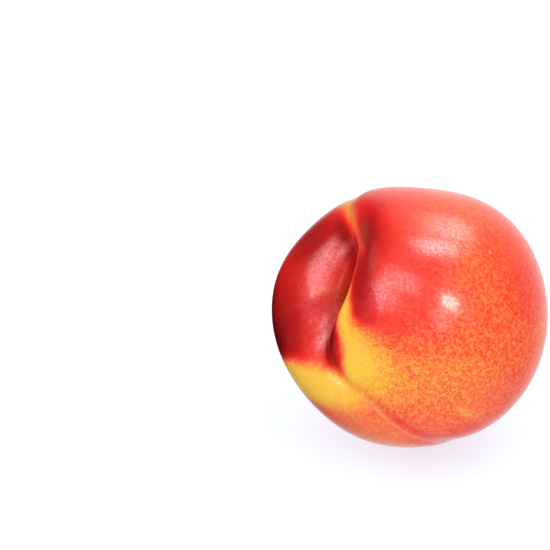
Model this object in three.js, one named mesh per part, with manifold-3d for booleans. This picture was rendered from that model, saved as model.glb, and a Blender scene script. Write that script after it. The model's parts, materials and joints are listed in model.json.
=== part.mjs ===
import * as THREE from "three";
import { mergeVertices } from "three/addons/utils/BufferGeometryUtils.js";
import Module from "manifold-3d";

// A nectarine lying on its side on a small flat spot. Millimetres, +Z up, X to the
// right, Y to the back. The origin is the middle of the flat spot.
//
// The fruit has its own three axes, and most sizes below run along them:
//   U  from the middle out to the belly seam (so -U is the back of the fruit)
//   V  from the middle out to the right cheek
//   W  from the blossom tip up to the stem hollow

// How the fruit lies: where its stem end and its belly seam point.
const STEM_POINTS = new THREE.Vector3(-0.61, -0.735, 0.297);
const SEAM_POINTS = new THREE.Vector3(0.3, -0.56, -0.772);

// The body: a slightly squat ball that narrows to the blossom tip.
const HALF_SEAM = 36.4;
const HALF_CHEEK = 35.6;
const HALF_STEM = 34.8;
const TAPER = 0.05;

// Low swells and flats of the flesh, each toward a direction in X, Y, Z: broad ones for
// the whole body, and small ones that flatten the left lobe and give it a shoulder.
const BROAD = 0.4;
const SMALL = 0.22;
const SWELLS = [
  { toward: new THREE.Vector3(-0.75, 0.05, 0.65), height: -0.3, spread: BROAD },
  { toward: new THREE.Vector3(-1, -0.2, 0.1), height: 0.6, spread: BROAD },
  { toward: new THREE.Vector3(-0.75, -0.4, -0.5), height: -2.1, spread: BROAD },
  { toward: new THREE.Vector3(0.75, -0.35, -0.55), height: 0.5, spread: BROAD },
  { toward: new THREE.Vector3(1, 0, 0), height: 1.4, spread: BROAD },
  { toward: new THREE.Vector3(0.7, 0.15, 0.7), height: 2.4, spread: BROAD },
  { toward: new THREE.Vector3(0.1, 0.3, 0.95), height: -1.8, spread: BROAD },
  { toward: new THREE.Vector3(0.1, -0.45, -0.9), height: -1.8, spread: BROAD },
  { toward: new THREE.Vector3(-0.83, -0.26, 0.48), height: 0.5, spread: SMALL },
  { toward: new THREE.Vector3(-0.86, -0.41, 0.3), height: 1.1, spread: SMALL },
  { toward: new THREE.Vector3(-0.75, -0.39, 0.54), height: -2.5, spread: SMALL },
  { toward: new THREE.Vector3(-0.88, -0.1, 0.47), height: 1.5, spread: SMALL },
  { toward: new THREE.Vector3(-0.79, -0.6, 0.16), height: -2, spread: SMALL },
  { toward: new THREE.Vector3(-0.73, -0.63, 0.26), height: 0.9, spread: SMALL },
  { toward: new THREE.Vector3(-0.89, -0.42, 0.17), height: 0.6, spread: SMALL },
  { toward: new THREE.Vector3(-0.59, -0.79, 0.17), height: -1.1, spread: SMALL },
];

// The cleft across the stem end is a crease with a wall on each side. Three runs make
// its depth: the stem hollow, the groove up the back and the furrow down the belly.
const HOLLOW = { depth: 7.8, at: -5.6, reach: 16.3 };
const BACK_GROOVE = { depth: 3.7, at: -16, reach: 10 };
const BELLY_FURROW = { depth: 2, at: 15, reach: 8 };

// The hollow's left wall is a broad even slope. Its right wall is steep at the crease
// and rolls over into the cheek, so part of its depth is lost slowly.
const LEFT_SLOPE = 18.7;
const RIGHT_STEEP = 2.5;
const RIGHT_ROLL = 16;
const STEEP_SHARE = 0.69;
const SHOULDER_ROUNDING = 0.12;

// How far the walls of the groove and of the furrow reach.
const GROOVE_WALL = 4.4;
const FURROW_LEFT = 8;
const FURROW_RIGHT = 3;

// How round the bottom of the crease is, in general and in the hollow.
const CREASE_ROUNDING = 0.5;
const HOLLOW_ROUNDING = 2;
const HOLLOW_ROUNDING_REACH = 4;

// The crease isn't straight: it swings left below the hollow and right over the back.
const SWERVE_BELLY = { shift: -9.3, at: 6.5, reach: 11.8 };
const SWERVE_BACK = { shift: 6.6, at: -19.4, reach: 15.9 };
const SWERVE_WIDTH = 14;

// The seam line down the belly, and the pit and point of the blossom tip.
const SEAM_DEPTH = 0.5;
const SEAM_WIDTH = 3.5;
const TIP_PIT_DEPTH = 1.2;
const TIP_PIT_REACH = 9;
const TIP_HEIGHT = 1.4;
const TIP_REACH = 2.2;

// The flat spot under the fruit is cut this far above its lowest point.
const FLAT_CUT = 0.65;

// Facets: round the crease's circle, and from cheek to cheek.
const ROUND_SEGMENTS = 96;
const CHEEK_SEGMENTS = 48;
const CREASE_DENSITY = 0.25;

const stem = STEM_POINTS.clone().normalize();
const seam = SEAM_POINTS.clone().addScaledVector(stem, -SEAM_POINTS.dot(stem)).normalize();
const cheek = new THREE.Vector3().crossVectors(stem, seam);
const lie = new THREE.Matrix4().makeBasis(seam, cheek, stem);
const intoFruit = lie.clone().transpose();

const swells = SWELLS.map((swell) => ({
  ...swell,
  toward: swell.toward.clone().normalize().applyMatrix4(intoFruit),
}));

const bell = (x) => Math.exp(-x * x);
const step = (x) => 1 / (1 + Math.exp(-x));
const run = ({ at, reach }, u) => bell((u - at) / reach);

// 1 at the crease and 0 past the slope's end, straight between, with a rounded end
const softEnd = (x) => Math.log1p(Math.exp((1 - x) / SHOULDER_ROUNDING));
const slope = (x) => softEnd(x) / softEnd(0);

// Where the skin lies for a direction out of the fruit's middle, in U, V, W.
function skinPoint(direction) {
  let swell = 1;
  for (const { toward, height, spread } of swells) {
    const turned = (direction.dot(toward) - 1) / spread ** 2;
    swell += (height / HALF_STEM) * Math.exp(turned);
  }
  const narrow = 1 - (TAPER * (1 - direction.z)) / 2;
  const u = HALF_SEAM * direction.x * swell * narrow;
  const v = HALF_CHEEK * direction.y * swell * narrow;
  const w = HALF_STEM * direction.z * swell;

  // the cleft only belongs to the stem end, the tip only to the other end
  const stemEnd = step((direction.z - 0.1) * 12);
  const tipEnd = 1 - stemEnd;

  // how deep each run of the cleft is at this distance from the crease
  const inHollow = bell((u - HOLLOW.at) / HOLLOW_ROUNDING_REACH);
  const rounding = CREASE_ROUNDING + (HOLLOW_ROUNDING - CREASE_ROUNDING) * inHollow;
  const away = Math.hypot(v, rounding) - rounding;
  const leftWall = slope(away / LEFT_SLOPE);
  const rightWall = STEEP_SHARE * Math.exp(-away / RIGHT_STEEP)
    + (1 - STEEP_SHARE) * slope(away / RIGHT_ROLL);
  const hollow = HOLLOW.depth * run(HOLLOW, u) * (v > 0 ? rightWall : leftWall);
  const groove = BACK_GROOVE.depth * run(BACK_GROOVE, u) * Math.exp(-away / GROOVE_WALL);
  const furrowWall = Math.exp(-away / (v > 0 ? FURROW_RIGHT : FURROW_LEFT));
  const furrow = BELLY_FURROW.depth * run(BELLY_FURROW, u) * furrowWall;

  // the seam line runs down the belly to the tip and fades on the back
  const fromAxis = Math.hypot(u, v);
  const belly = step(u / 3);
  const onBack = Math.min(1, stemEnd + bell(fromAxis / 16) * tipEnd);
  const seamLine = SEAM_DEPTH * bell(v / SEAM_WIDTH) * (belly + (1 - belly) * onBack);
  const tip = TIP_PIT_DEPTH * bell(fromAxis / TIP_PIT_REACH) - TIP_HEIGHT * bell(fromAxis / TIP_REACH);

  const inward = (hollow + groove + furrow) * stemEnd + seamLine + tip * tipEnd;
  const point = new THREE.Vector3(u, v, w).addScaledVector(direction, -inward);

  // the swerve slides the whole cleft sideways
  const swerve = SWERVE_BELLY.shift * run(SWERVE_BELLY, point.x)
    + SWERVE_BACK.shift * run(SWERVE_BACK, point.x);
  point.y += swerve * bell(v / SWERVE_WIDTH) * stemEnd;
  return point;
}

// A sphere whose equator is the crease's circle, with its facets crowded toward the
// crease, the hollow and the tip, and each of its points moved out to the skin.
function skinGeometry() {
  const sphere = new THREE.SphereGeometry(1, ROUND_SEGMENTS, CHEEK_SEGMENTS);
  const position = sphere.getAttribute("position");
  const direction = new THREE.Vector3();
  for (let i = 0; i < position.count; i += 1) {
    const row = Math.floor(i / (ROUND_SEGMENTS + 1));
    const column = i % (ROUND_SEGMENTS + 1);
    const across = 1 - (2 * row) / CHEEK_SEGMENTS;
    const bend = CREASE_DENSITY * Math.abs(across) + (1 - CREASE_DENSITY) * across ** 2;
    const toCheek = (Math.PI / 2) * Math.sign(across) * bend;
    const turn = (2 * Math.PI * (column % ROUND_SEGMENTS)) / ROUND_SEGMENTS;
    const round = turn - 0.25 * Math.sin(turn) - 0.2 * Math.sin(2 * turn);
    direction.set(
      Math.cos(toCheek) * Math.sin(round),
      Math.sin(toCheek),
      Math.cos(toCheek) * Math.cos(round),
    );
    const point = skinPoint(direction);
    position.setXYZ(i, point.x, point.y, point.z);
  }
  sphere.deleteAttribute("normal");
  sphere.deleteAttribute("uv");
  sphere.applyMatrix4(lie);
  sphere.computeBoundingBox();
  sphere.translate(0, 0, -sphere.boundingBox.min.z - FLAT_CUT);
  return mergeVertices(sphere, 1e-3);
}

const wasm = await Module();
wasm.setup();

function toSolid(geometry) {
  const merged = mergeVertices(geometry, 1e-3);
  return new wasm.Manifold(new wasm.Mesh({
    numProp: 3,
    vertProperties: new Float32Array(merged.getAttribute("position").array),
    triVerts: new Uint32Array(merged.index.array),
  }));
}

function toGeometry(solid) {
  const mesh = solid.getMesh();
  const geometry = new THREE.BufferGeometry();
  geometry.setAttribute("position", new THREE.BufferAttribute(mesh.vertProperties, 3));
  geometry.setIndex(new THREE.BufferAttribute(mesh.triVerts, 1));
  return geometry;
}

// everything below the table's plane is cut away, which leaves the flat spot
const below = new THREE.BoxGeometry(60, 60, 20).translate(0, 0, -10);
below.deleteAttribute("normal");
below.deleteAttribute("uv");
const body = toGeometry(toSolid(skinGeometry()).subtract(toSolid(below)));

// the middle of the flat spot becomes the origin
const spot = new THREE.Box3();
const corner = new THREE.Vector3();
const points = body.getAttribute("position");
for (let i = 0; i < points.count; i += 1) {
  corner.fromBufferAttribute(points, i);
  if (corner.z < 1e-4) {
    spot.expandByPoint(corner);
  }
}
const middle = spot.getCenter(new THREE.Vector3());
body.translate(-middle.x, -middle.y, 0);
body.computeVertexNormals();

const skin = new THREE.MeshStandardMaterial({ color: 0xd8321f, roughness: 0.3, metalness: 0 });
const nectarine = new THREE.Mesh(body, skin);
nectarine.name = "nectarine";

const group = new THREE.Group();
group.add(nectarine);

export default group;
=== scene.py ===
# %% [markdown]
# # A nectarine and its skin
#
# A nectarine is one smooth body. What makes it look real is its skin: red blush over a
# yellow ground, speckles where the two meet, a waxy gloss, and the cleft that runs from
# the stem hollow down one side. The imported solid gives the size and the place. This
# lesson lays a finer skin over it and paints that skin with shader nodes.

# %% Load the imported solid
import json
import math

import bpy
import numpy as np
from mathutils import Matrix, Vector

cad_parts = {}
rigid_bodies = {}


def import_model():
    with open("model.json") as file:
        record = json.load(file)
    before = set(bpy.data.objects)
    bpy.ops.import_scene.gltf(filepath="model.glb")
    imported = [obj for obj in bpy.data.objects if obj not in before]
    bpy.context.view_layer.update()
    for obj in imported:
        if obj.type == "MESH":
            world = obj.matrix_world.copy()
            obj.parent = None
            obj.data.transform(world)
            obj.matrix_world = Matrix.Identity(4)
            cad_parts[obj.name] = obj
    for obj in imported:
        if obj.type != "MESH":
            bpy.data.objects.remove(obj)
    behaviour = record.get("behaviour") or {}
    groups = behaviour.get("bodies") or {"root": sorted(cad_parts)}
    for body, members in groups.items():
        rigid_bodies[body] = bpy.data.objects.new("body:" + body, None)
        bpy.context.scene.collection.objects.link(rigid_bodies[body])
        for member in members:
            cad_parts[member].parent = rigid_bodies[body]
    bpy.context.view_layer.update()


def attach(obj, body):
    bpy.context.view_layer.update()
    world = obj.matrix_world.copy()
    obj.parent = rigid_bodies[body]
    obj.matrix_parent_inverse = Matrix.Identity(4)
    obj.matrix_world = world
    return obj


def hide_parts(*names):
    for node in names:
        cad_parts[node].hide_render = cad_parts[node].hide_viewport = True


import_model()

MM = 0.001

# %% [markdown]
# ## The camera
#
# The camera looks down a little on the fruit from the front. It could aim at the fruit's
# middle, but here the fruit sits in the right half of the frame, so the camera aims at a
# point to the left of it and a little above. A long lens keeps the round form quiet.

# %% Camera
LOOK_DOWN = math.radians(22)
CAMERA_AWAY = 520 * MM
LOOK_AT = Vector((-34.58, 2.58, 43.87)) * MM
LENS_MM = 130.85
SENSOR_MM = 36
NEAREST_SEEN = 10 * MM

camera_data = bpy.data.cameras.new("camera")
camera_data.sensor_width = SENSOR_MM
camera_data.lens = LENS_MM
camera_data.clip_start = NEAREST_SEEN
camera = bpy.data.objects.new("camera", camera_data)
camera.rotation_euler = (math.pi / 2 - LOOK_DOWN, 0, 0)
into_scene = Vector((0, math.cos(LOOK_DOWN), -math.sin(LOOK_DOWN)))
camera.location = LOOK_AT - into_scene * CAMERA_AWAY
bpy.context.collection.objects.link(camera)
bpy.context.scene.camera = camera
print("camera stands at mm:", [round(c / MM, 1) for c in camera.location])

# %% [markdown]
# ## The form of the fruit
#
# The fruit has three axes of its own: U from the middle to the belly seam, V to the right
# cheek and W up to the stem hollow. A form like this could be sculpted by hand, but then
# nobody could change it later. Here each part of the form is a short formula with named
# sizes in millimetres, the same ones the solid was made with: a squat ball, low swells,
# and a crease with a wall on each side.

# %% How the fruit lies
FRUIT_MIDDLE = np.array([-0.155, -1.409, 33.352])
STEM_POINTS = (-0.61, -0.735, 0.297)
SEAM_POINTS = (0.3, -0.56, -0.772)


def unit(vector):
    vector = np.array(vector, float)
    return vector / np.linalg.norm(vector)


stem_axis = unit(STEM_POINTS)
seam_axis = unit(SEAM_POINTS - stem_axis * np.dot(SEAM_POINTS, stem_axis))
cheek_axis = np.cross(stem_axis, seam_axis)
FRUIT_AXES = np.stack([seam_axis, cheek_axis, stem_axis])
print("cheek points to", np.round(cheek_axis, 3))

# %% Sizes of the body
HALF_SEAM = 36.4
HALF_CHEEK = 35.6
HALF_STEM = 34.8
TAPER = 0.05

# each swell: the way it points, its height, and how wide it spreads
BROAD = 0.4
SMALL = 0.22
SWELLS = (
    ((-0.75, 0.05, 0.65), -0.3, BROAD),
    ((-1, -0.2, 0.1), 0.6, BROAD),
    ((-0.75, -0.4, -0.5), -2.1, BROAD),
    ((0.75, -0.35, -0.55), 0.5, BROAD),
    ((1, 0, 0), 1.4, BROAD),
    ((0.7, 0.15, 0.7), 2.4, BROAD),
    ((0.1, 0.3, 0.95), -1.8, BROAD),
    ((0.1, -0.45, -0.9), -1.8, BROAD),
    ((-0.83, -0.26, 0.48), 0.5, SMALL),
    ((-0.86, -0.41, 0.3), 1.1, SMALL),
    ((-0.75, -0.39, 0.54), -2.5, SMALL),
    ((-0.88, -0.1, 0.47), 1.5, SMALL),
    ((-0.79, -0.6, 0.16), -2, SMALL),
    ((-0.73, -0.63, 0.26), 0.9, SMALL),
    ((-0.89, -0.42, 0.17), 0.6, SMALL),
    ((-0.59, -0.79, 0.17), -1.1, SMALL),
)
print("body:", 2 * HALF_CHEEK, "mm from cheek to cheek, with", len(SWELLS), "swells")

# %% Sizes of the cleft, the seam and the tip
HOLLOW = dict(depth=7.8, at=-5.6, reach=16.3)
BACK_GROOVE = dict(depth=3.7, at=-16, reach=10)
BELLY_FURROW = dict(depth=2, at=15, reach=8)
LEFT_SLOPE = 18.7
RIGHT_STEEP = 2.5
RIGHT_ROLL = 16
STEEP_SHARE = 0.69
SHOULDER_ROUNDING = 0.12
GROOVE_WALL = 4.4
FURROW_LEFT = 8
FURROW_RIGHT = 3
CREASE_ROUNDING = 0.5
HOLLOW_ROUNDING = 2
HOLLOW_ROUNDING_REACH = 4

SWERVE_BELLY = dict(shift=-9.3, at=6.5, reach=11.8)
SWERVE_BACK = dict(shift=6.6, at=-19.4, reach=15.9)
SWERVE_WIDTH = 14

SEAM_DEPTH = 0.5
SEAM_WIDTH = 3.5
BELLY_BLUR = 3
BACK_SEAM_REACH = 16
TIP_PIT_DEPTH = 1.2
TIP_PIT_REACH = 9
TIP_HEIGHT = 1.4
TIP_REACH = 2.2

# where the stem end gives way to the tip's end, along the stem axis, and how sharply
STEM_END_LIMIT = 0.1
STEM_END_SHARPNESS = 12
print("the stem hollow is", HOLLOW["depth"], "mm deep")

# %% [markdown]
# ## From a direction to a point on the skin
#
# Every point of the skin is found from a direction out of the fruit's middle. First the
# ball and its swells are laid down, then the cleft, the seam and the tip are pressed in
# along the same direction, and last the cleft is slid sideways where it swerves. The
# stalk's scar, a small ring on the floor of the hollow, is the one part of the form that
# is too fine for the solid.

# %% Four simple curves
def bell(x):
    """1 at zero, and 0 far to either side."""
    return np.exp(-x * x)


def step(x):
    """0 far below zero and 1 far above it, with a soft change between."""
    return 1 / (1 + np.exp(-np.clip(x, -60, 60)))


def run(part, u):
    """How much of a part of the cleft is left at a distance along it."""
    return bell((u - part["at"]) / part["reach"])


def slope(x):
    """1 at the crease and 0 past the slope's end, straight between, with a round end."""
    def soft_end(y):
        return np.logaddexp(0, (1 - y) / SHOULDER_ROUNDING)
    return soft_end(x) / soft_end(0)


print("half way up a wall, the slope has", round(float(slope(0.5)), 2), "of its depth left")

# %% How deep the cleft is
def cleft_depth(u, v):
    """How deep the hollow, the groove and the furrow are pressed in together, in mm."""
    rounding = CREASE_ROUNDING + (HOLLOW_ROUNDING - CREASE_ROUNDING) * bell(
        (u - HOLLOW["at"]) / HOLLOW_ROUNDING_REACH)
    away = np.hypot(v, rounding) - rounding
    left_wall = slope(away / LEFT_SLOPE)
    right_wall = (STEEP_SHARE * np.exp(-away / RIGHT_STEEP)
                  + (1 - STEEP_SHARE) * slope(away / RIGHT_ROLL))
    hollow = HOLLOW["depth"] * run(HOLLOW, u) * np.where(v > 0, right_wall, left_wall)
    groove = BACK_GROOVE["depth"] * run(BACK_GROOVE, u) * np.exp(-away / GROOVE_WALL)
    furrow = BELLY_FURROW["depth"] * run(BELLY_FURROW, u) * np.exp(
        -away / np.where(v > 0, FURROW_RIGHT, FURROW_LEFT))
    return hollow + groove + furrow


for name, part in (("hollow", HOLLOW), ("groove", BACK_GROOVE), ("furrow", BELLY_FURROW)):
    print(name, "bottom:", cleft_depth(np.array([part["at"]]), np.zeros(1)).round(1), "mm")

# %% The skin's formula
SCAR_AT = (-8.5, 1.2)
SCAR_RING = 1.8
SCAR_RING_WIDTH = 0.7
SCAR_RING_HEIGHT = 0.35
SCAR_SINK = 0.5


def skin_points(direction):
    """Points of the skin in the fruit's own U, V, W, in mm, and the unswerved U, V."""
    swell = np.ones(len(direction))
    for toward, height, spread in SWELLS:
        turned = (direction @ (FRUIT_AXES @ unit(toward)) - 1) / spread**2
        swell += height / HALF_STEM * np.exp(turned)
    narrow = 1 - TAPER * (1 - direction[:, 2]) / 2
    u = HALF_SEAM * direction[:, 0] * swell * narrow
    v = HALF_CHEEK * direction[:, 1] * swell * narrow
    w = HALF_STEM * direction[:, 2] * swell
    stem_end = step((direction[:, 2] - STEM_END_LIMIT) * STEM_END_SHARPNESS)
    tip_end = 1 - stem_end

    from_axis = np.hypot(u, v)
    belly = step(u / BELLY_BLUR)
    on_back = np.minimum(1, stem_end + bell(from_axis / BACK_SEAM_REACH) * tip_end)
    seam = SEAM_DEPTH * bell(v / SEAM_WIDTH) * (belly + (1 - belly) * on_back)
    tip = (TIP_PIT_DEPTH * bell(from_axis / TIP_PIT_REACH)
           - TIP_HEIGHT * bell(from_axis / TIP_REACH))

    from_scar = np.hypot(u - SCAR_AT[0], v - SCAR_AT[1])
    ring = SCAR_RING_HEIGHT * bell((from_scar - SCAR_RING) / SCAR_RING_WIDTH)
    scar = (SCAR_SINK * bell(from_scar / SCAR_RING) - ring) * stem_end

    inward = cleft_depth(u, v) * stem_end + seam + tip * tip_end + scar
    points = np.stack([u, v, w], 1) - direction * inward[:, None]
    swerve = (SWERVE_BELLY["shift"] * run(SWERVE_BELLY, points[:, 0])
              + SWERVE_BACK["shift"] * run(SWERVE_BACK, points[:, 0]))
    points[:, 1] += swerve * bell(v / SWERVE_WIDTH) * stem_end
    return points, u, v


stem_point = skin_points(np.array([[0.0, 0.0, 1.0]]))[0][0]
print("on the stem's axis the skin is", round(float(stem_point[2]), 1), "mm from the middle")

# %% [markdown]
# ## The mesh
#
# A plain sphere has its finest faces at its poles, where this fruit needs none. So the
# poles are put on the two cheeks and the equator on the crease, and the rows crowd toward
# the crease, the hollow and the tip. Points that fall below the table's plane are set on
# it, which leaves the small flat spot that the fruit lies on.

# %% Directions and faces
AROUND = 408
ACROSS = 236
CREASE_DENSITY = 0.25
CROWD_TO_HOLLOW = 0.25
CROWD_TO_BOTH_ENDS = 0.2


def directions():
    """Unit directions, row by row from the left cheek to the right one."""
    across = np.linspace(-1, 1, ACROSS + 1)[1:-1]
    bend = CREASE_DENSITY * np.abs(across) + (1 - CREASE_DENSITY) * across**2
    latitude = (np.pi / 2 * np.sign(across) * bend)[:, None]
    turn = 2 * np.pi * np.arange(AROUND)[None, :] / AROUND
    around = turn - CROWD_TO_HOLLOW * np.sin(turn) - CROWD_TO_BOTH_ENDS * np.sin(2 * turn)
    grid = np.stack([np.cos(latitude) * np.sin(around),
                     np.sin(latitude) + 0 * around,
                     np.cos(latitude) * np.cos(around)], -1)
    return np.vstack([[(0, -1, 0)], grid.reshape(-1, 3), [(0, 1, 0)]])


def faces():
    """Quads between the rows, and a fan of triangles on each cheek."""
    rows = ACROSS - 1
    last = rows * AROUND + 1
    corner = 1 + np.arange(rows * AROUND).reshape(rows, AROUND)
    beside = np.roll(corner, -1, axis=1)
    quads = np.stack([corner[:-1], corner[1:], beside[1:], beside[:-1]], -1).reshape(-1, 4)
    left = [(0, a, b) for a, b in zip(corner[0], beside[0])]
    right = [(last, b, a) for a, b in zip(corner[-1], beside[-1])]
    return [tuple(map(int, face)) for face in [*quads, *left, *right]]


direction = directions()
print("directions:", len(direction))

# %% Build the skin
fruit_points, seam_way, cheek_way = skin_points(direction)
places = fruit_points @ FRUIT_AXES + FRUIT_MIDDLE
places[:, 2] = np.maximum(places[:, 2], 0)

skin_mesh = bpy.data.meshes.new("nectarine_skin")
skin_mesh.from_pydata((places * MM).tolist(), [], faces())
skin_mesh.update()
skin_mesh.shade_smooth()
skin = bpy.data.objects.new("nectarine_skin", skin_mesh)
bpy.context.collection.objects.link(skin)
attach(skin, "root")
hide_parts("nectarine")
triangles = sum(len(p.vertices) - 2 for p in skin_mesh.polygons)
print("skin:", len(skin_mesh.vertices), "points,", triangles, "triangles")

# %% [markdown]
# ## Finding a place on the fruit
#
# Everything painted on the skin needs a place. Flat coordinates would only fit one side,
# and a wrapped sheet would need cuts. This fruit has a natural map instead, made
# of two angles in degrees. One goes round the crease's circle: 0 at the stem hollow, 90
# on the belly, 180 at the tip and -90 on the back. The other goes across, from 0 at the
# crease to 90 on the right cheek and -90 on the left one.

# %% Two angles, soft ovals and soft bands
round_way = np.degrees(np.arctan2(direction[:, 0], direction[:, 2]))
across_way = np.degrees(np.arcsin(np.clip(direction[:, 1], -1, 1)))


def patch(round_at, across_at, half_length, half_width, edge=3, tilt=0):
    """1 inside an oval of the skin and 0 outside it. A larger edge is crisper."""
    along = (round_way - round_at + 180) % 360 - 180
    along = along * np.cos(np.radians(across_way))
    beside = across_way - across_at
    along = along - tilt * beside
    spread = np.hypot(along / half_length, beside / half_width)
    return step(edge * (1 - spread))


def between(way, start, end, start_blur, end_blur):
    """1 between two angles and 0 outside them, with a soft change at each."""
    return step((way - start) / start_blur) * step((end - way) / end_blur)


def strongest(ovals):
    """Where ovals overlap, the strongest one counts. The last number is its strength."""
    return np.maximum.reduce([strength * patch(*oval) for *oval, strength in ovals])


print("round from", round_way.min().round(), "to", round_way.max().round(), "degrees")

# %% [markdown]
# ## Where the fruit is red
#
# Sun turns a nectarine red, and the ground colour stays yellow where a leaf or another
# fruit shaded it. Random clouds could do that, but they would never leave the cleft dark
# and the belly bare. So the redness is built up from soft ovals, worked out once for each
# point of the mesh: 0 is bare yellow ground, 1 is full red, and more than 1 is the
# darkest red. Some of the ovals paint light and shade into this colour: they darken the
# walls of the cleft and the left side, where shade falls, and lighten the underside,
# where light bounces up from the floor.

# %% Shades of red, with painted shade and light
BASE_REDNESS = 0.8

#          round, across, half length, half width, edge, change
RED_TONES_AND_PAINTED_LIGHT = {
    "speckled cheek": (44, 34, 20, 17, 2.5, -0.22),
    "cheek": (30, 66, 70, 30, 2.5, -0.13),
    "between cheek and lip": (6, 42, 22, 15, 3, 0.12),
    "cheek toward the back": (-68, 60, 30, 24, 3, -0.14),
    # partly painted light: the next two ovals make the belly and the underside paler, partly
    # their own paler skin and partly light bounced up from the floor, painted in
    "belly": (56, -8, 22, 34, 3, -0.27),
    "under the cheek, with painted bounce light": (88, 40, 34, 28, 2.5, -0.14),
    # painted shade: the next oval darkens the hollow's right wall, where shade falls
    "painted shade on the hollow's right wall": (-13, 17, 24, 7, 3, 0.4),
    "beside the groove": (-38, 16, 10, 10, 3, 0.2),
    "shoulder over the crease": (-26, 25, 9, 7, 3, 0.14),
    # partly painted shade: the next oval darkens the left lobe's outer side, partly its own
    # deeper red and partly shade painted on that side
    "left lobe's side, deeper red and painted shade": (-4, -50, 32, 26, 4, 0.6),
    "left lobe's shoulder": (-44, -14, 13, 8, 3, 0.35),
    # painted shade: the next two ovals darken the groove's left wall and the crease's lip,
    # where shade falls
    "painted shade on the groove's left wall": (-42, -2, 14, 3.5, 4, 0.35),
    "painted shade on the crease's lip": (2.5, 3.5, 15, 5, 4, 0.6),
    "far cheek": (10, 82, 40, 12, 3, 0.05),
    "cheek behind": (-125, 72, 30, 16, 3, 0.07),
    "beside the bare ground": (34, 22, 12, 9, 3, -0.14),
    "belly toward the tip": (82, 0, 20, 17, 3, 0.1),
    "tip's ground": (180, 0, 26, 26, 3, -0.3),
    "left cheek below": (95, -48, 40, 26, 3, -0.3),
}

redness = np.full(len(direction), BASE_REDNESS)
for *oval, change in RED_TONES_AND_PAINTED_LIGHT.values():
    redness += change * patch(*oval)
print("redness before the bare ground:", redness.min().round(2), redness.max().round(2))

# %% [markdown]
# ## The bare yellow ground
#
# Two places stay yellow: a strip on the right wall of the crease that widens into a
# patch, and a band low on the left lobe. Their outlines are clear on one side and blurred
# on the other, so an oval doesn't fit them. Each is the space between two edges instead,
# and each edge is a short list of angles with straight lines between.

# %% Strip right of the crease
BARE = 0.02
STRIP_ROUND = (-16, -8, -3, 2, 6, 10, 15, 19, 24, 30, 36, 44)
STRIP_LEFT = (8.5, 7, 7.2, 8.8, 10.6, 10.9, 9.8, 6.8, 3.2, -0.5, -2, -2)
STRIP_RIGHT = (8.8, 11.8, 14.1, 15.4, 17.4, 20, 21.4, 21.9, 21.2, 19.5, 17.5, 14)
STRIP_LEFT_BLUR = 0.6
STRIP_STARTS = -15
STRIP_START_BLUR = 1.5

strip_left = np.interp(round_way, STRIP_ROUND, STRIP_LEFT)
strip_right = np.interp(round_way, STRIP_ROUND, STRIP_RIGHT)
strip_blur = np.interp(round_way, (0, 20, 40), (0.7, 2.2, 4.2))
strip_end = np.interp(round_way, (26, 36, 52), (1, 0.7, 0))
strip = between(across_way, strip_left, strip_right, STRIP_LEFT_BLUR, strip_blur)
strip *= step((round_way - STRIP_STARTS) / STRIP_START_BLUR) * strip_end
print("points on the strip:", int((strip > 0.5).sum()))

# %% Band on the left lobe
LOBE_ACROSS = (-60, -36, -24, -12, -4, 2)
LOBE_TOP = (-2, 5, 9.5, 12.5, 17, 22)
LOBE_BOTTOM = (29, 35, 37.5, 39, 39, 38)
LOBE_BLURS = (1.6, 2.5)
LOBE_SIDES = (-66, 3)
LOBE_SIDE_BLURS = (4, 1.5)

lobe_top = np.interp(across_way, LOBE_ACROSS, LOBE_TOP)
lobe_bottom = np.interp(across_way, LOBE_ACROSS, LOBE_BOTTOM)
lobe_ground = between(round_way, lobe_top, lobe_bottom, *LOBE_BLURS)
lobe_ground *= between(across_way, *LOBE_SIDES, *LOBE_SIDE_BLURS)
redness += (BARE - redness) * np.maximum(strip, lobe_ground)
print("points on the lobe's band:", int((lobe_ground > 0.5).sum()))

# %% [markdown]
# ## The pale streak and the seam
#
# The groove over the back shelters a streak of skin from the sun, and the seam down the
# belly is a thin pale line with a darker red band on its right. The pale line is partly
# the seam's own paler skin and partly a painted highlight along it, and the red band is
# partly the skin's own red and partly painted shade beside it. Both are lines more than
# patches, so they are drawn as a soft bell across a path.

# %% Streak in the groove
STREAK_ROUND = (-100, -72, -62, -53, -47, -42, -36, -30, -26, -22)
STREAK_ACROSS = (-2, -2.1, -0.2, 1.8, 3, 3.6, 6.5, 10.1, 13.7, 15.4)
STREAK_ENDS = (-100, -24)
STREAK_END_BLURS = (8, 2)

streak_path = np.interp(round_way, STREAK_ROUND, STREAK_ACROSS)
streak_width = np.interp(round_way, (-75, -60, -45, -25), (7, 4.6, 4, 2.8))
streak = bell((across_way - streak_path) / streak_width)
streak *= between(round_way, *STREAK_ENDS, *STREAK_END_BLURS)
streak_redness = np.interp(round_way, (-75, -62, -45, -28), (0.12, 0.18, 0.42, 0.7))
redness += (streak_redness - redness) * streak
print("points on the streak:", int((streak > 0.5).sum()))

# %% Seam on the belly
SEAM_ENDS = (33, 150)
SEAM_END_BLURS = (3, 8)
# partly painted light: the pale line is partly a painted highlight along the seam, and the red
# band beside it partly painted shade
PALE_SEAM_AND_HIGHLIGHT = dict(at=-1.4, half_width=0.9)
RED_AND_SHADE_BESIDE_SEAM = dict(at=2.6, half_width=2.8, change=0.2)
FLAME_BESIDE_SEAM = (73, 24, 7, 1.4, 3, -0.5)
FLAME_CHANGE = -0.2
REDNESS_LIMITS = (-0.1, 1.35)

on_belly = between(round_way, *SEAM_ENDS, *SEAM_END_BLURS)


def along_seam(line):
    return bell((across_way - line["at"]) / line["half_width"]) * on_belly


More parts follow.
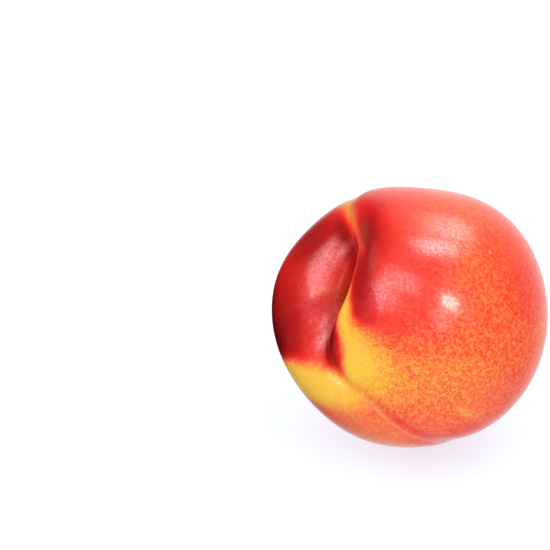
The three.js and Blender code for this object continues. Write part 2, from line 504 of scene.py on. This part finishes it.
seam_line_and_highlight = along_seam(PALE_SEAM_AND_HIGHLIGHT)
redness += RED_AND_SHADE_BESIDE_SEAM["change"] * along_seam(RED_AND_SHADE_BESIDE_SEAM)
redness += FLAME_CHANGE * patch(*FLAME_BESIDE_SEAM)
redness = np.clip(redness, *REDNESS_LIMITS)
print("redness from", redness.min().round(2), "to", redness.max().round(2))

# %% [markdown]
# ## Other marks of the skin
#
# Redness isn't all that changes over the fruit. Flames lick over the top of the left
# lobe's bare band. The skin is dry and brown at the stalk's scar and at the tip. The wax
# is thin in and round the cleft, where nothing rubs it bright, and thick in three small
# places on the left lobe. A highlight stops where the wax gets thin, so these ovals are
# also the means to trim the highlights. The lamps could do it too, but a lamp shows in
# every part of a round fruit, and an oval only where it is. Each mark is one number for
# each point, kept with the mesh as an attribute that the material reads by its name.

# %% Keep the colour marks
def keep(name, values):
    """Stores one number for each point of the skin, for the material to read."""
    skin_mesh.attributes.new(name, "FLOAT", "POINT").data.foreach_set(
        "value", np.asarray(values, np.float32))


PALE_BELLY = (52, -20, 15, 14)
FLAMING_BELLY = (72, -8, 30, 36)
# painted reflection: the greyish brown beside the groove stands in for a muted reflection there
PAINTED_REFLECTION_BY_GROOVE = (-32, 13, 7, 4.5)
SPECKLED_CHEEK = (50, 40, 45, 50)
FEWEST_SPECKLES = 0.45

FLAMES_OVER_LOBE = dict(reach=4, sides=(-50, 1), side_blurs=(3, 2))
FLECKS_RIGHT_OF = 54
FLECKS_ROUND_FROM = dict(middle=20, away=110)

over_lobe = bell((round_way - lobe_top) / FLAMES_OVER_LOBE["reach"])
over_lobe *= between(across_way, *FLAMES_OVER_LOBE["sides"], *FLAMES_OVER_LOBE["side_blurs"])
round_away = np.abs(round_way - FLECKS_ROUND_FROM["middle"])
flecked_right = step((across_way - FLECKS_RIGHT_OF) / 4)
flecked_behind = step((round_away - FLECKS_ROUND_FROM["away"]) / 8)

keep("redness", redness)
# pale: the seam's line, partly a painted highlight, and a pale patch on the belly
keep("pale", np.maximum(seam_line_and_highlight, 0.55 * patch(*PALE_BELLY)))
keep("flaring", np.maximum(over_lobe, 0.4 * patch(*FLAMING_BELLY)))
# painted reflection beside the groove, kept for the material
keep("painted_reflection", patch(*PAINTED_REFLECTION_BY_GROOVE))
keep("speckles", FEWEST_SPECKLES + (1 - FEWEST_SPECKLES) * patch(*SPECKLED_CHEEK))
keep("flecked", np.maximum(flecked_right, flecked_behind))
print("kept:", [mark.name for mark in skin_mesh.attributes if mark.data_type == "FLOAT"])

# %% Keep the marks of the wax and the dry places
#    round, across, half length, half width, edge, strength
THIN_WAX = (
    (-27, 13, 24, 11, 4, 1),
    (15, -5, 8, 9, 4, 1),
    (-8, 1, 34, 3.5, 4, 1),
    (-42, -1, 14, 3.5, 4, 1),
    (-17, 24.5, 8, 5, 4, 1),
    (10, -10, 6, 5, 3, 1),
    (-2, -42, 26, 18, 4, 0.6),
    (11, 31, 6, 9, 3, 0.7),
    (-4, -14, 7, 5, 3, 0.75),
)
THICK_WAX = (
    (-6, -7, 5.5, 2.6, 3, 1),
    (2.4, -5.4, 3.2, 2, 3, 1),
    (-12.5, -13, 4, 5.5, 3, 0.9),
)
DRY_SCAR_AT = (-9.5, 0.5)
DRY_SCAR_REACH = 4.5
DRY_TIP_REACH = 2.6

keep("unpolished", strongest(THIN_WAX))
keep("thick_wax", strongest(THICK_WAX))
near_stem = step((direction[:, 2] - 0.3) * 20)
from_scar = np.hypot(seam_way - DRY_SCAR_AT[0], cheek_way - DRY_SCAR_AT[1])
scar_skin = bell(from_scar / DRY_SCAR_REACH) * near_stem
tip_skin = bell(np.hypot(seam_way, cheek_way) / DRY_TIP_REACH) * (1 - near_stem)
keep("dry", np.maximum(scar_skin, tip_skin))
print("wax:", len(THIN_WAX), "thin places and", len(THICK_WAX), "thick ones")

# %% [markdown]
# ## Which way the flames run
#
# Red flames on a nectarine run from the stem to the tip. Plain noise has no direction. It
# can be stretched, but on a ball that only works in one place. So the noise gets its own
# coordinates, which change fast round the fruit and slowly from stem to tip.

# %% Keep the flow
FLOW_ROUND = 10
FLOW_DOWN = 1.2

turned = np.arctan2(fruit_points[:, 1], fruit_points[:, 0])
fall = np.arccos(np.clip(direction[:, 2], -1, 1))
flow = np.stack([np.cos(turned) * FLOW_ROUND, np.sin(turned) * FLOW_ROUND,
                 fall * FLOW_DOWN], 1)
skin_mesh.attributes.new("flow", "FLOAT_VECTOR", "POINT").data.foreach_set(
    "vector", flow.astype(np.float32).ravel())
print("flames are about", round(FLOW_ROUND / FLOW_DOWN), "times as long as wide")

# %% [markdown]
# ## Small helpers for shader nodes
#
# A material is a small program made of nodes. Wiring each one by hand takes many lines,
# so these helpers add a node, set its values and link its inputs in one call.

# %% Node helpers
def add_node(tree, kind, settings=None, **inputs):
    """Adds a node. Inputs are numbers, colours or another node's output."""
    node = tree.nodes.new(kind)
    for name, value in (settings or {}).items():
        setattr(node, name, value)
    for name, value in inputs.items():
        numbered = name[0] == "i" and name[1:].isdigit()
        socket = node.inputs[int(name[1:]) if numbered else name.replace("_", " ")]
        if isinstance(value, bpy.types.NodeSocket):
            tree.links.new(value, socket)
        else:
            socket.default_value = value
    return node


def maths(tree, operation, first, second=0.0, third=0.0, clamp=False):
    node = add_node(tree, "ShaderNodeMath", {"operation": operation, "use_clamp": clamp},
                    i0=first, i1=second, i2=third)
    return node.outputs[0]


def times(tree, first, second):
    return maths(tree, "MULTIPLY", first, second)


print("helpers that calculate:", add_node.__name__, maths.__name__, times.__name__)

# %% Helpers for blends and colours
def blend(tree, amount, first, second, mode="MIX"):
    node = add_node(tree, "ShaderNodeMix", {"data_type": "RGBA", "blend_type": mode},
                    i0=amount, i6=first, i7=second)
    return node.outputs[2]


def fade(tree, value, start, end, low=0.0, high=1.0):
    """Turns a value that goes from start to end into one from low to high, smoothly."""
    node = add_node(tree, "ShaderNodeMapRange", {"interpolation_type": "SMOOTHSTEP"},
                    Value=value, From_Min=start, From_Max=end, To_Min=low, To_Max=high)
    return node.outputs[0]


def linear(*rgb):
    """A colour as a paint chip gives it, 0 to 255, in the linear light nodes work in."""
    def one(c):
        c = c / 255
        return c / 12.92 if c <= 0.04045 else ((c + 0.055) / 1.055) ** 2.4
    return (*map(one, rgb), 1.0)


print("a middle grey chip is", round(linear(128, 128, 128)[0], 3), "in linear light")

# %% [markdown]
# ## The skin's material
#
# The real skin is a thin red layer of stain in the cells over a yellow flesh, under clear
# wax. One flat red would look like plastic. So the material starts from the redness at
# each point and breaks it up: long flames that run from stem to tip, broad clouds,
# blotches of a millimetre or so, and fine grains and brown specks less than half a
# millimetre across. The small ones show most where the skin is half red, as on a real
# fruit.

# %% Start the material
skin_stuff = bpy.data.materials.new("nectarine_skin")
skin_stuff.use_nodes = True
tree = skin_stuff.node_tree
tree.nodes.clear()


def attribute(name, output="Fac"):
    return add_node(tree, "ShaderNodeAttribute", {"attribute_name": name}).outputs[output]


def noise(where, scale, detail=2.0, roughness=0.5, distortion=0.0):
    node = add_node(tree, "ShaderNodeTexNoise", Vector=where, Scale=scale, Detail=detail,
                    Roughness=roughness, Distortion=distortion)
    return node.outputs[0]


def cells(scale):
    """The distance to the nearest of many scattered points."""
    node = add_node(tree, "ShaderNodeTexVoronoi", Vector=place, Scale=scale)
    return node.outputs["Distance"]


place = add_node(tree, "ShaderNodeTexCoord").outputs["Object"]
red_here = attribute("redness")
print("material:", skin_stuff.name)

# %% Flames, clouds, blotches, grains and specks
FLAME_SCALE = 1.7
CLOUD_SCALE = 70.0
BLOTCH_SCALE = 1150
GRAIN_SCALE = 2800
SPECK_SCALE = 1700.0
SPECK_GROUP_SCALE = 500

flames = maths(tree, "SUBTRACT", noise(attribute("flow", "Vector"), FLAME_SCALE, 3.0, 0.6), 0.5)
clouds = maths(tree, "SUBTRACT", noise(place, CLOUD_SCALE), 0.5)
blotches = fade(tree, noise(place, BLOTCH_SCALE, 2.0, 0.6, 1.0), 0.38, 0.62, -0.5, 0.5)
grains = fade(tree, noise(place, GRAIN_SCALE, 1.0), 0.54, 0.66)
in_groups = fade(tree, noise(place, SPECK_GROUP_SCALE), 0.38, 0.55)
specks = times(tree, fade(tree, cells(SPECK_SCALE), 0.46, 0.28), in_groups)
specks = times(tree, specks, fade(tree, red_here, 0.62, 0.36))
print("layers of pattern: 5, the finest at", GRAIN_SCALE, "to the metre")

# %% Where the small patterns show
HALF_RED = 0.42
HALF_RED_NARROWNESS = 6.0
SPECKLED_EVERYWHERE = 0.06

off_middle = maths(tree, "POWER", maths(tree, "SUBTRACT", red_here, HALF_RED), 2.0)
half_red = maths(tree, "SUBTRACT", 1.0, times(tree, off_middle, HALF_RED_NARROWNESS),
                 clamp=True)
speckled = maths(tree, "MULTIPLY_ADD", half_red, 1 - SPECKLED_EVERYWHERE, SPECKLED_EVERYWHERE)
speckled = times(tree, speckled, attribute("speckles"))
print("speckled most where the redness is", HALF_RED)

# %% Add them to the redness
FLAMES_SHIFT = 0.8
CLOUDS_SHIFT = 0.16
SMALL_SHIFTS = ((blotches, 0.35), (grains, 0.22), (specks, 0.12))

shade = maths(tree, "MULTIPLY_ADD", flames, times(tree, attribute("flaring"), FLAMES_SHIFT),
              red_here)
shade = maths(tree, "MULTIPLY_ADD", clouds, CLOUDS_SHIFT, shade)
for pattern, shift in SMALL_SHIFTS:
    shade = maths(tree, "MULTIPLY_ADD", pattern, times(tree, speckled, shift), shade)
print("redness is shifted by", 2 + len(SMALL_SHIFTS), "patterns")

# %% [markdown]
# ## From redness to colour
#
# Mixing yellow and red evenly gives a muddy middle. Real skin goes from yellow through a
# warm orange and a bright, almost pink red to a deep one, as more and more cells are
# stained. A ramp with a paint at each of those steps does that. The deep and the dark
# steps also paint the shade in the cleft and on the left side, where the ovals push the
# redness past 1. Marks that aren't a step on that way, such as brown specks and pale
# flecks, are laid over it.

# %% The ramp
GROUND = linear(227, 181, 58)
WARM = linear(230, 150, 46)
ORANGE = linear(228, 112, 54)
BRIGHT_RED = linear(226, 64, 40)
RED = linear(206, 24, 18)
# DEEP and DARK are also the colours of the painted shade in the cleft and on the left side
DEEP = linear(168, 9, 6)
DARK = linear(108, 4, 3)
DARKEST = REDNESS_LIMITS[1]
PAINTS = ((0.2, WARM), (0.45, ORANGE), (0.7, BRIGHT_RED), (0.9, RED), (1.1, DEEP),
          (DARKEST, DARK))

along_ramp = maths(tree, "DIVIDE", shade, DARKEST, clamp=True)
ramp = add_node(tree, "ShaderNodeValToRGB", Fac=along_ramp)
stops = ramp.color_ramp.elements
stops.remove(stops[1])
stops[0].position = 0.0
stops[0].color = GROUND
for at, paint in PAINTS:
    stops.new(at / DARKEST).color = paint
colour = ramp.outputs["Color"]
print("skin colours:", len(stops), "stops from ground to darkest red")

# %% Marks laid over the colour
# PALE also paints the highlight along the seam
PALE = linear(235, 150, 120)
# painted reflection: the grey laid over the skin beside the groove
REFLECTION_GREY = linear(150, 70, 62)
STAIN = linear(120, 70, 30)
FLECK = linear(242, 170, 92)
SPECK_BROWN = linear(176, 72, 26)
SPECK_COVER = 0.66
FLECK_SCALE = 420.0
FLECK_GROUP_SCALE = 90

in_few_groups = fade(tree, noise(place, FLECK_GROUP_SCALE), 0.42, 0.6)
flecks = times(tree, fade(tree, cells(FLECK_SCALE), 0.16, 0.06), in_few_groups)
speck_cover = times(tree, specks, times(tree, speckled, SPECK_COVER))
colour = blend(tree, speck_cover, colour, SPECK_BROWN)
colour = blend(tree, times(tree, flecks, attribute("flecked")), colour, FLECK)
# the grey laid on beside the groove is a painted reflection
for mark, cover, paint in (("pale", 0.35, PALE), ("painted_reflection", 0.4, REFLECTION_GREY), ("dry", 0.6, STAIN)):
    colour = blend(tree, times(tree, attribute(mark), cover), colour, paint)
print("marks over the colour: specks, flecks, pale, dull and dry skin")

# %% [markdown]
# ## Gloss
#
# The wax gives two reflections: a broad one from the uneven cells and a crisp one from
# the film on top. A Principled shader makes them with its own roughness and with a clear
# coat. The wax lies unevenly, so a fine noise makes both reflections a little stronger
# and weaker from grain to grain, and the kept marks thin it in the cleft. A very low bump
# breaks up the edge of each highlight, as the pores do.

# %% Pores and dents
PORE_DEPTH = 0.065 * MM
PORE_SCALE = 1700
PORE_STRENGTH = 0.6
DENT_DEPTH = 0.04 * MM
DENT_SCALE = 160

pores = add_node(tree, "ShaderNodeBump", Strength=PORE_STRENGTH, Distance=PORE_DEPTH,
                 Height=noise(place, PORE_SCALE))
dents = add_node(tree, "ShaderNodeBump", Strength=1.0, Distance=DENT_DEPTH,
                 Height=noise(place, DENT_SCALE), Normal=pores.outputs[0])
print("pores", PORE_DEPTH / MM, "mm deep and dents", DENT_DEPTH / MM, "mm deep")

# %% Uneven wax
WAX_SCALE = 1500
THINNEST_WAX = 0.45
UNPOLISHED_SHINE = 0.15
THICK_WAX_SHINE = 1.5
COAT_SHARE = 0.4
ROUGH_SCALE = 300
SMOOTHEST, ROUGHEST = 0.22, 0.3
WAX_TINT = (1, 0.99, 0.99, 1)

wax = fade(tree, noise(place, WAX_SCALE, 2.0, 0.6), 0.36, 0.64, THINNEST_WAX, 1.0)
polish = fade(tree, attribute("unpolished"), 0.0, 1.0, 1.0, UNPOLISHED_SHINE)
thick = times(tree, wax, attribute("thick_wax"))
shine = maths(tree, "MULTIPLY_ADD", thick, THICK_WAX_SHINE, times(tree, wax, polish))
roughness = fade(tree, noise(place, ROUGH_SCALE), 0.3, 0.7, SMOOTHEST, ROUGHEST)
print("roughness from", SMOOTHEST, "to", ROUGHEST)

# %% The shader
SKIN_IOR = 1.4
WAX_IOR = 1.5
WAX_ROUGHNESS = 0.08
FLESH_GLOW = 0.08
FLESH_GLOW_DEPTH = 1.5 * MM
RED_GOES_DEEPEST = (1.0, 0.35, 0.15)

shader = add_node(
    tree, "ShaderNodeBsdfPrincipled", Base_Color=colour, Normal=dents.outputs[0],
    Roughness=roughness, IOR=SKIN_IOR,
    Specular_Tint=blend(tree, 1.0, WAX_TINT, shine, "MULTIPLY"),
    Coat_Weight=times(tree, shine, COAT_SHARE), Coat_Roughness=WAX_ROUGHNESS, Coat_IOR=WAX_IOR,
    Subsurface_Weight=FLESH_GLOW, Subsurface_Scale=FLESH_GLOW_DEPTH)
shader.inputs["Subsurface Radius"].default_value = RED_GOES_DEEPEST
add_node(tree, "ShaderNodeOutputMaterial", Surface=shader.outputs[0])
skin_mesh.materials.append(skin_stuff)
print("skin material:", len(tree.nodes), "nodes")

# %% [markdown]
# ## The floor
#
# The table is white and so bright that only a faint lavender shadow is left on it. A
# floor that is merely lit would turn pink where the red fruit shines on it. So this one
# is lit a little and glows a little. It glows for what the camera sees, and for the light
# that it throws up on the fruit's underside, and the gloss doesn't see it at all.

# %% Floor
FLOOR_HALF = 3.0
FLOOR_BLUE_GREY = (0.22, 0.29, 0.36, 1)
FLOOR_GLOW = (0.9, 0.92, 1, 1)
FLOOR_ROUGHNESS = 0.7
FLOOR_SHEEN = 0.2
GLOW_FOR_CAMERA = 0.78
GLOW_FOR_FRUIT = 1.12

floor_mesh = bpy.data.meshes.new("floor")
floor_mesh.from_pydata([(x * FLOOR_HALF, y * FLOOR_HALF, 0) for x, y in
                        ((-1, -1), (1, -1), (1, 1), (-1, 1))], [], [(0, 1, 2, 3)])
floor = bpy.data.objects.new("floor", floor_mesh)
bpy.context.collection.objects.link(floor)
floor.visible_glossy = False
floor_stuff = bpy.data.materials.new("floor")
floor_stuff.use_nodes = True
floor_tree = floor_stuff.node_tree
floor_shader = floor_tree.nodes["Principled BSDF"]
floor_shader.inputs["Base Color"].default_value = FLOOR_BLUE_GREY
floor_shader.inputs["Roughness"].default_value = FLOOR_ROUGHNESS
floor_shader.inputs["Specular IOR Level"].default_value = FLOOR_SHEEN
floor_shader.inputs["Emission Color"].default_value = FLOOR_GLOW
floor_ray = add_node(floor_tree, "ShaderNodeLightPath").outputs
for_fruit = times(floor_tree, floor_ray["Is Diffuse Ray"], GLOW_FOR_FRUIT)
floor_tree.links.new(
    maths(floor_tree, "MULTIPLY_ADD", floor_ray["Is Camera Ray"], GLOW_FOR_CAMERA, for_fruit),
    floor_shader.inputs["Emission Strength"])
floor_mesh.materials.append(floor_stuff)
print("floor:", 2 * FLOOR_HALF, "m wide")

# %% [markdown]
# ## Softboxes
#
# A glossy round thing shows every lamp as a highlight. If the lamps also had to light the
# skin evenly, they would be big and the whole front would turn milky. So the even light
# comes from the surround and from one soft lamp overhead that the gloss doesn't see.
# Eight softboxes draw the highlights and light nothing else. A bare rectangle of light
# leaves a highlight with a hard edge, so each box has a cloth that fades to its edges.

# %% A softbox
LAMP_AWAY = 1.0
fruit_middle = Vector(FRUIT_MIDDLE.tolist()) * MM


def softbox(name, place, aim, width, height, brightness, turn=0.0, soft=0.35):
    """A rectangular light at a place in metres that faces a point. The cloth over it is
    brightest in the middle and fades over the outer, soft part of its width."""
    data = bpy.data.lights.new(name, "AREA")
    data.shape = "RECTANGLE"
    data.size = width
    data.size_y = height
    data.energy = math.pi * width * height * brightness
    data.use_nodes = True
    cloth = data.node_tree
    cloth.nodes.clear()
    on_cloth = add_node(cloth, "ShaderNodeNewGeometry").outputs["Parametric"]
    split = add_node(cloth, "ShaderNodeSeparateXYZ", Vector=on_cloth).outputs
    glows = 1.0
    for along in (split[0], split[1]):
        from_middle = maths(cloth, "ABSOLUTE", maths(cloth, "SUBTRACT", along, 0.5))
        glows = times(cloth, fade(cloth, from_middle, 0.5, 0.5 - soft), glows)
    glow = add_node(cloth, "ShaderNodeEmission", Strength=glows)
    add_node(cloth, "ShaderNodeOutputLight", Surface=glow.outputs[0])
    light = bpy.data.objects.new(name, data)
    light.location = place
    light.rotation_euler = (Vector(place) - Vector(aim)).to_track_quat("Z", "Y").to_euler()
    light.rotation_euler.rotate_axis("Z", math.radians(turn))
    bpy.context.collection.objects.link(light)
    return light


def around_fruit(azimuth, elevation):
    """A place by its direction from the fruit. Azimuth 0 is the camera's side."""
    a, e = math.radians(azimuth), math.radians(elevation)
    return Vector((math.sin(a) * math.cos(e) * LAMP_AWAY,
                   -math.cos(a) * math.cos(e) * LAMP_AWAY,
                   math.sin(e) * LAMP_AWAY + fruit_middle.z))


print("softboxes stand", LAMP_AWAY, "m from the fruit")

# %% Softboxes round the front, two overhead, and the soft lamp
#              azimuth, elevation, width, height, brightness, turn, soft edge
FRONT_BOXES = {
    "front_left": (-54, 38, 1.46, 0.74, 7.9, -22, 0.44),
    "front": (-14, 46, 0.6, 0.44, 6.5, 0, 0.35),
    "low_front": (-20, 24, 0.7, 0.3, 3.2, 0, 0.35),
    "low_left": (-46, 21, 0.34, 0.3, 6.5, 0, 0.35),
    "front_right": (33, 31.5, 0.34, 0.22, 37.0, -30, 0.3),
    "beside_spot": (20, 21, 0.4, 0.42, 5.0, 0, 0.35),
}
#             right, back, width, height, brightness, turn, soft edge
TOP_BOXES = {
    "overhead": (0.36, -0.09, 0.8, 0.42, 13, 11, 0.35),
    "over_back": (0.5, 0.3, 1.0, 1.2, 8.5, 0, 0.5),
}
TOP_HEIGHT = 1.03
SOFT_TOP_AT = (0.1, -0.6, 1.1)
SOFT_TOP_SIZE = 1.4
SOFT_TOP_BRIGHTNESS = 1.15

boxes = [softbox(name, around_fruit(azimuth, elevation), fruit_middle, *look)
         for name, (azimuth, elevation, *look) in FRONT_BOXES.items()]
boxes += [softbox(name, (right, back, TOP_HEIGHT), (right, back, 0), *look)
          for name, (right, back, *look) in TOP_BOXES.items()]
for box in boxes:
    box.visible_diffuse = False
soft_top = softbox("soft_top", SOFT_TOP_AT, fruit_middle, SOFT_TOP_SIZE, SOFT_TOP_SIZE,
                   SOFT_TOP_BRIGHTNESS)
soft_top.visible_glossy = False
print("softboxes:", len(boxes), "for the gloss and 1 for the skin")

# %% [markdown]
# ## The dark card
#
# The left edge of the fruit is a deep red without any sheen, because something dark
# stands beside it. A black card that leans there does that, the way dark cards give glass
# its edge. It only shows in the gloss, so it throws no shadow and takes no light away.

# %% Dark card
CARD_FOOT, CARD_HEAD = -42 * MM, -200 * MM
CARD_FRONT, CARD_BACK = -160 * MM, 100 * MM
CARD_BOTTOM, CARD_TOP = 1 * MM, 160 * MM
CARD_BLACK = (0.002, 0.001, 0.001, 1)

card_mesh = bpy.data.meshes.new("dark_card")
card_corners = [(CARD_FOOT, CARD_FRONT, CARD_BOTTOM), (CARD_FOOT, CARD_BACK, CARD_BOTTOM),
                (CARD_HEAD, CARD_BACK, CARD_TOP), (CARD_HEAD, CARD_FRONT, CARD_TOP)]
card_mesh.from_pydata(card_corners, [], [(0, 1, 2, 3)])
card = bpy.data.objects.new("dark_card", card_mesh)
bpy.context.collection.objects.link(card)
card.visible_camera = False
card.visible_diffuse = False
card.visible_shadow = False
card_stuff = bpy.data.materials.new("dark_card")
card_stuff.use_nodes = True
card_shader = card_stuff.node_tree.nodes["Principled BSDF"]
card_shader.inputs["Base Color"].default_value = CARD_BLACK
card_shader.inputs["Specular IOR Level"].default_value = 0.0
card_mesh.materials.append(card_stuff)
print("dark card:", round((CARD_BACK - CARD_FRONT) / MM), "mm long")

# %% [markdown]
# ## The surround
#
# A white studio lights the skin from everywhere. If the gloss saw it too, a white veil
# would lie over all the red. So the surround is even and white for the skin's own colour
# and for the camera, and for the gloss it is only bright behind the fruit and below it,
# away from the left. That draws the pink rim along the top and the right.

# %% Surround
EVEN_LIGHT = 1.35
LEAST_IN_GLOSS = 0.02

world = bpy.data.worlds.new("surround")
world.use_nodes = True
world.cycles.sampling_method = "NONE"
sky = world.node_tree
sky.nodes.clear()
way = add_node(sky, "ShaderNodeSeparateXYZ", Vector=add_node(
    sky, "ShaderNodeTexCoord").outputs["Generated"]).outputs
ray = add_node(sky, "ShaderNodeLightPath").outputs
behind = fade(sky, way["Y"], 0.1, 0.95)
below = fade(sky, way["Z"], -0.15, -0.8, 0.0, 0.4)
from_right = fade(sky, way["X"], -0.35, 0.1, 0.03, 1.0)
in_gloss = maths(sky, "MULTIPLY_ADD", maths(sky, "MAXIMUM", behind, below), from_right,
                 LEAST_IN_GLOSS)
glow = add_node(sky, "ShaderNodeMix", {"data_type": "FLOAT"}, i0=ray["Is Glossy Ray"],
                i2=EVEN_LIGHT, i3=in_gloss).outputs[0]
sky_light = add_node(sky, "ShaderNodeBackground", Color=(1, 1, 1, 1), Strength=glow)
add_node(sky, "ShaderNodeOutputWorld", Surface=sky_light.outputs[0])
bpy.context.scene.world = world
bpy.context.scene.view_settings.view_transform = "Standard"
